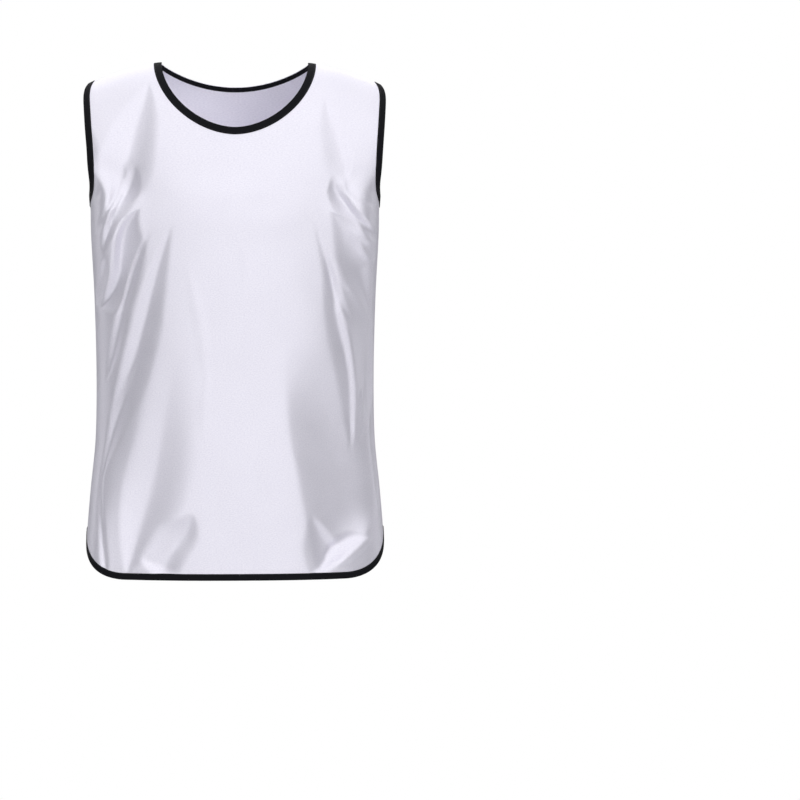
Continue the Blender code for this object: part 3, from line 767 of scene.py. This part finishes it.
def satin():
    """White satin: smooth and soft shining, with a fine grain from its weave."""
    made = bpy.data.materials.new("white_satin")
    made.use_nodes = True
    tree = made.node_tree
    shader = tree.nodes["Principled BSDF"]
    shader.inputs["Metallic"].default_value = 0.5
    shader.inputs["Roughness"].default_value = 0.42
    shader.inputs["Anisotropic"].default_value = 0.0
    shader.inputs["Sheen Weight"].default_value = 0.0
    place = node(tree, "ShaderNodeUVMap", uv_map="cloth")
    # weft floats: short, flat and crosswise
    stretch = node(tree, "ShaderNodeMapping")
    stretch.inputs["Scale"].default_value = (1.0, 1.6, 1.0)
    tree.links.new(place.outputs["UV"], stretch.inputs["Vector"])
    grain = node(tree, "ShaderNodeTexNoise")
    grain.inputs["Scale"].default_value = 480.0
    grain.inputs["Detail"].default_value = 2.0
    tree.links.new(stretch.outputs["Vector"], grain.inputs["Vector"])
    weft = node(tree, "ShaderNodeTexWave", wave_type="BANDS", bands_direction="Y")
    weft.inputs["Scale"].default_value = 700.0
    weft.inputs["Distortion"].default_value = 2.5
    weft.inputs["Detail"].default_value = 1.0
    tree.links.new(place.outputs["UV"], weft.inputs["Vector"])
    drift = node(tree, "ShaderNodeTexNoise")
    drift.inputs["Scale"].default_value = 26.0
    drift.inputs["Detail"].default_value = 4.0
    tree.links.new(place.outputs["UV"], drift.inputs["Vector"])
    # colour: a cool white that varies a little
    tone = node(tree, "ShaderNodeMix", data_type="RGBA")
    tone.inputs["A"].default_value = (0.800, 0.780, 0.880, 1)
    tone.inputs["B"].default_value = (0.940, 0.920, 1.000, 1)
    blend = node(tree, "ShaderNodeMath", operation="MULTIPLY_ADD")
    blend.inputs[1].default_value = 2.0
    blend.inputs[2].default_value = -0.5
    tree.links.new(grain.outputs["Fac"], blend.inputs[0])
    tree.links.new(blend.outputs[0], tone.inputs["Factor"])
    tree.links.new(tone.outputs["Result"], shader.inputs["Base Color"])
    rough = node(tree, "ShaderNodeMapRange")
    rough.inputs["From Min"].default_value = 0.3
    rough.inputs["From Max"].default_value = 0.7
    rough.inputs["To Min"].default_value = 0.38
    rough.inputs["To Max"].default_value = 0.46
    tree.links.new(drift.outputs["Fac"], rough.inputs["Value"])
    tree.links.new(rough.outputs["Result"], shader.inputs["Roughness"])
    bump = node(tree, "ShaderNodeBump")
    bump.inputs["Strength"].default_value = 0.35
    bump.inputs["Distance"].default_value = 0.00008
    tree.links.new(weft.outputs["Fac"], bump.inputs["Height"])
    second = node(tree, "ShaderNodeBump")
    second.inputs["Strength"].default_value = 0.5
    second.inputs["Distance"].default_value = 0.00012
    tree.links.new(grain.outputs["Fac"], second.inputs["Height"])
    tree.links.new(bump.outputs["Normal"], second.inputs["Normal"])
    tree.links.new(second.outputs["Normal"], shader.inputs["Normal"])
    return made


def black_tape():
    """Black woven binding tape: matt, with fine ribs across it."""
    made = bpy.data.materials.new("black_tape")
    made.use_nodes = True
    tree = made.node_tree
    shader = tree.nodes["Principled BSDF"]
    shader.inputs["Roughness"].default_value = 0.8
    shader.inputs["Specular IOR Level"].default_value = 0.12
    place = node(tree, "ShaderNodeTexCoord")
    uv = node(tree, "ShaderNodeUVMap", uv_map="cloth")
    rib = node(tree, "ShaderNodeTexWave", wave_type="BANDS", bands_direction="X")
    rib.inputs["Scale"].default_value = 420.0
    rib.inputs["Distortion"].default_value = 1.2
    rib.inputs["Detail"].default_value = 1.0
    tree.links.new(uv.outputs["UV"], rib.inputs["Vector"])
    fuzz = node(tree, "ShaderNodeTexNoise")
    fuzz.inputs["Scale"].default_value = 900.0
    fuzz.inputs["Detail"].default_value = 3.0
    tree.links.new(place.outputs["Object"], fuzz.inputs["Vector"])
    tone = node(tree, "ShaderNodeMix", data_type="RGBA")
    tone.inputs["A"].default_value = (0.0022, 0.0024, 0.0036, 1)
    tone.inputs["B"].default_value = (0.0085, 0.0085, 0.0115, 1)
    tree.links.new(fuzz.outputs["Fac"], tone.inputs["Factor"])
    tree.links.new(tone.outputs["Result"], shader.inputs["Base Color"])
    bump = node(tree, "ShaderNodeBump")
    bump.inputs["Strength"].default_value = 0.6
    bump.inputs["Distance"].default_value = 0.00012
    tree.links.new(rib.outputs["Fac"], bump.inputs["Height"])
    second = node(tree, "ShaderNodeBump")
    second.inputs["Strength"].default_value = 0.4
    second.inputs["Distance"].default_value = 0.00006
    tree.links.new(fuzz.outputs["Fac"], second.inputs["Height"])
    tree.links.new(bump.outputs["Normal"], second.inputs["Normal"])
    tree.links.new(second.outputs["Normal"], shader.inputs["Normal"])
    return made


def black_thread():
    """Black sewing thread, a little brighter than the tape."""
    made = bpy.data.materials.new("black_thread")
    made.use_nodes = True
    tree = made.node_tree
    shader = tree.nodes["Principled BSDF"]
    shader.inputs["Roughness"].default_value = 0.5
    place = node(tree, "ShaderNodeTexCoord")
    twist = node(tree, "ShaderNodeTexNoise")
    twist.inputs["Scale"].default_value = 2500.0
    tree.links.new(place.outputs["Object"], twist.inputs["Vector"])
    tone = node(tree, "ShaderNodeMix", data_type="RGBA")
    tone.inputs["A"].default_value = (0.006, 0.006, 0.008, 1)
    tone.inputs["B"].default_value = (0.016, 0.016, 0.020, 1)
    tree.links.new(twist.outputs["Fac"], tone.inputs["Factor"])
    tree.links.new(tone.outputs["Result"], shader.inputs["Base Color"])
    bump = node(tree, "ShaderNodeBump")
    bump.inputs["Strength"].default_value = 0.5
    bump.inputs["Distance"].default_value = 0.00005
    tree.links.new(twist.outputs["Fac"], bump.inputs["Height"])
    tree.links.new(bump.outputs["Normal"], shader.inputs["Normal"])
    return made


SATIN, BLACK, THREAD_BLACK = satin(), black_tape(), black_thread()

# ---------------------------------------------------------------- the bib

front, front_bound, front_area = panel("front")
back, back_bound, back_area = panel("back")
for piece, cad in ((front, "front_panel"), (back, "back_panel")):
    piece.data.materials.append(SATIN)
    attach(piece, "root")
    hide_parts(cad)

lines = {}
neck = np.concatenate([front_bound["neck", -1], front_bound["neck", 1][-2::-1]])
neck[0], neck[-1] = square_end(neck[0]), square_end(neck[-1])
back_neck = np.concatenate([back_bound["neck", -1], back_bound["neck", 1][-2::-1]])
back_neck[0], back_neck[-1] = square_end(back_neck[0]), square_end(back_neck[-1])
lines["neck_tape"] = ("neck_binding", tape_section, neck, False)
lines["back_neck_tape_inside"] = ("back_neck_tape", flat_section, back_neck, False)
for name, cad, hand in (
    ("armhole_tape_left", "armhole_binding_left", 1),
    ("armhole_tape_right", "armhole_binding_right", -1),
):
    ahead, behind = front_bound["arm", hand], back_bound["arm", -hand]
    lines[name] = (
        cad,
        tape_section,
        join_ring(
            [between(ahead[0], behind[0])], ahead[1:-1], [between(ahead[-1], behind[-1])], behind[-2:0:-1]
        ),
        True,
    )
lines["hem_tape"] = (
    "hem_binding",
    tape_section,
    join_ring(
        [between(front_bound["hem", -1][-1], back_bound["hem", 1][-1])],
        list(front_bound["hem", -1][-2::-1]) + list(front_bound["hem", 1][1:-1]),
        [between(front_bound["hem", 1][-1], back_bound["hem", -1][-1])],
        list(back_bound["hem", -1][-2::-1]) + list(back_bound["hem", 1][1:-1]),
    ),
    True,
)

tapes, lengths = {}, {}
for name, (cad, section, pairs, ring) in lines.items():
    made, length = tape(name, section, pairs, ring)
    made.data.materials.append(BLACK)
    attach(made, "root")
    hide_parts(cad)
    tapes[name], lengths[name] = made, length / 1000

for name, (cad, section, pairs, ring) in lines.items():
    if section is tape_section:
        made = stitches(name + "_stitches", pairs, ring, 0.17, (1, -1), TAPE + 0.10)
    else:
        made = stitches(name + "_stitches", pairs, ring, 0.14, (-1,), TAPE * 1.1)
    made.data.materials.append(THREAD_BLACK)
    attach(made, "root")

# ---------------------------------------------------------------- flat sizes

print("areas", front_area, back_area, "tapes", lengths)

# ---------------------------------------------------------------- the studio


def aimed(thing, at):
    thing.rotation_euler = (Vector(at) - thing.location).to_track_quat("-Z", "Y").to_euler()


def softbox(name, azimuth, elevation, away, width, height, radiance, colour=(1, 1, 1)):
    """A soft light aimed at the garment. Azimuth 0 is in front of it, 90 on the
    wearer's left; radiance is what its surface gives out."""
    a, e = math.radians(azimuth), math.radians(elevation)
    light = bpy.data.lights.new(name, "AREA")
    light.shape, light.size, light.size_y = "RECTANGLE", width, height
    light.energy, light.color = radiance * math.pi * width * height, colour
    made = bpy.data.objects.new(name, light)
    made.location = Vector(MIDDLE) + away * Vector(
        (math.sin(a) * math.cos(e), -math.cos(a) * math.cos(e), math.sin(e))
    )
    made.visible_camera = False
    bpy.context.scene.collection.objects.link(made)
    aimed(made, MIDDLE)
    return made


MIDDLE = (0, 0, -0.34)
softbox("key_front", 4, 5, 3.4, 6.6, 2.3, 1.24)
softbox("key_front_high", 4, 47, 3.4, 6.2, 2.4, 1.0)
softbox("overhead", 0, 90, 3.2, 6.0, 3.0, 0.92)
softbox("key_back_high", 184, 42, 3.4, 6.2, 2.6, 1.3)
softbox("side_left", -122, 8, 3.2, 1.7, 2.6, 0.5)
softbox("side_right", 122, 8, 3.2, 1.7, 2.6, 0.5)

# light thrown back up inside the garment
inside = bpy.data.lights.new("inside", "AREA")
inside.shape, inside.size, inside.size_y = "RECTANGLE", 0.10, 0.06
inside.energy = 4.0 * math.pi * inside.size * inside.size_y
inside_light = bpy.data.objects.new("inside", inside)
inside_light.location = (-0.06, -0.07, -0.12)
inside_light.visible_camera = False
bpy.context.scene.collection.objects.link(inside_light)
aimed(inside_light, (-0.05, 0.09, -0.05))

world = bpy.data.worlds.new("studio")
bpy.context.scene.world = world
world.use_nodes = True
tree = world.node_tree
tree.nodes.clear()
out = tree.nodes.new("ShaderNodeOutputWorld")
seen = tree.nodes.new("ShaderNodeBackground")
lit = tree.nodes.new("ShaderNodeBackground")
seen.inputs["Color"].default_value = (1, 1, 1, 1)
seen.inputs["Strength"].default_value = 1.0
lit.inputs["Color"].default_value = (0.95, 0.96, 1, 1)
lit.inputs["Strength"].default_value = 0.20
path = tree.nodes.new("ShaderNodeLightPath")
mix = tree.nodes.new("ShaderNodeMixShader")
tree.links.new(path.outputs["Is Camera Ray"], mix.inputs["Fac"])
tree.links.new(lit.outputs["Background"], mix.inputs[1])
tree.links.new(seen.outputs["Background"], mix.inputs[2])
tree.links.new(mix.outputs["Shader"], out.inputs["Surface"])

FLOOR_Z = -1.45
floor_mesh = bpy.data.meshes.new("floor")
floor_mesh.from_pydata(
    [(-2.2, -2.2, FLOOR_Z), (2.2, -2.2, FLOOR_Z), (2.2, 2.2, FLOOR_Z), (-2.2, 2.2, FLOOR_Z)],
    [],
    [(0, 1, 2, 3)],
)
floor = bpy.data.objects.new("floor", floor_mesh)
bpy.context.scene.collection.objects.link(floor)
paper = bpy.data.materials.new("floor_paper")
paper.use_nodes = True
paper.node_tree.nodes["Principled BSDF"].inputs["Base Color"].default_value = (0.86, 0.86, 0.87, 1)
paper.node_tree.nodes["Principled BSDF"].inputs["Roughness"].default_value = 0.9
floor.data.materials.append(paper)

# ---------------------------------------------------------------- the camera

CAMERA_AWAY = 4.0
FRAME_WIDTH = 1.064        # seen at the origin's distance
camera_data = bpy.data.cameras.new("camera")
camera_data.sensor_width = 36
camera_data.lens = 36 * CAMERA_AWAY / FRAME_WIDTH
camera = bpy.data.objects.new("camera", camera_data)
bpy.context.scene.collection.objects.link(camera)
camera.location = (0, -CAMERA_AWAY, -0.3425)
aimed(camera, (0.2189, 0, -0.3425 - 0.1037))
bpy.context.scene.camera = camera

view = bpy.context.scene.view_settings
view.view_transform = "Standard"
view.look = "None"
